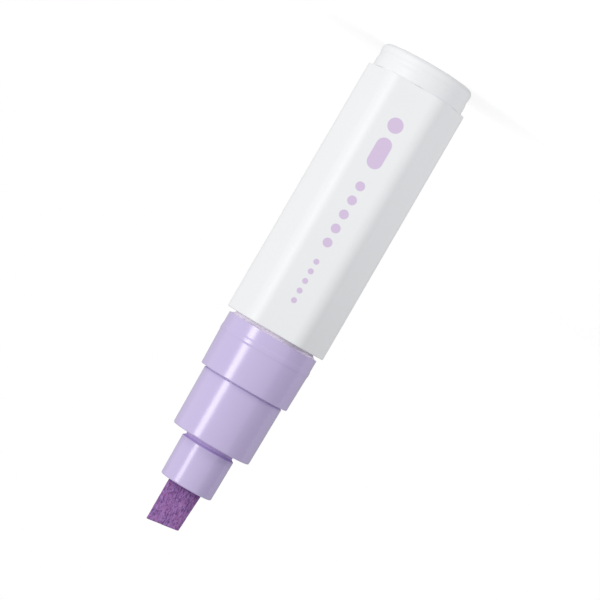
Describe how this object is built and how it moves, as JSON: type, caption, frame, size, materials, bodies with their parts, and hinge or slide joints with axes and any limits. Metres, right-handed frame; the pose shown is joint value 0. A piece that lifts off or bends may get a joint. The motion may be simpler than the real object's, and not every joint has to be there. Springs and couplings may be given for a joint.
{
  "type": "paint marker",
  "caption": "Valve-action paint marker without its cap: white soft-hexagon barrel and round tail plug, lilac collar, grip and neck, and a broad purple chisel nib.",
  "frame": {"origin": "centre of the flat tail face, which the marker stands on", "axes": "+Z along the marker from the tail to the nib, +X along the wide side of the barrel's hexagon (across corners) towards the nib's long corner, -Y out of the barrel's front facet"},
  "size_m": [0.0262, 0.0244, 0.1266],
  "materials": {
    "white_plastic": "smooth satin gloss",
    "lilac_plastic": "smooth gloss",
    "natural_plastic": "smooth satin",
    "pale_rubber": "smooth satin",
    "dark_rubber": "matte",
    "felt": "dense felt soaked with paint",
    "spring_steel": "bright drawn wire",
    "ball_steel": "polished"
  },
  "bodies": {
    "body": {"barrel": "white_plastic", "tail_plug": "white_plastic", "front_section": "lilac_plastic", "mouth_gasket": "pale_rubber", "seal_ring": "dark_rubber", "nib_holder": "lilac_plastic", "valve_housing": "natural_plastic", "valve_retainer": "natural_plastic", "valve_gasket": "dark_rubber", "valve_spring": "spring_steel"},
    "nib_and_stem": {"nib": "felt", "valve_stem": "natural_plastic"},
    "mixing_ball": {"mixing_ball": "ball_steel"}
  },
  "joints": [
    {"name": "nib_press", "type": "slide", "parent": "body", "child": "nib_and_stem", "axis": [0, 0, -1], "range_m": [0, 0.0018], "stiffness_N_per_m": 400, "springref_m": -0.004, "deforming": ["valve_spring"]},
    {"name": "ball_rattle", "type": "slide", "parent": "body", "child": "mixing_ball", "axis": [0, 0, 1], "range_m": [0, 0.0485]}
  ]
}
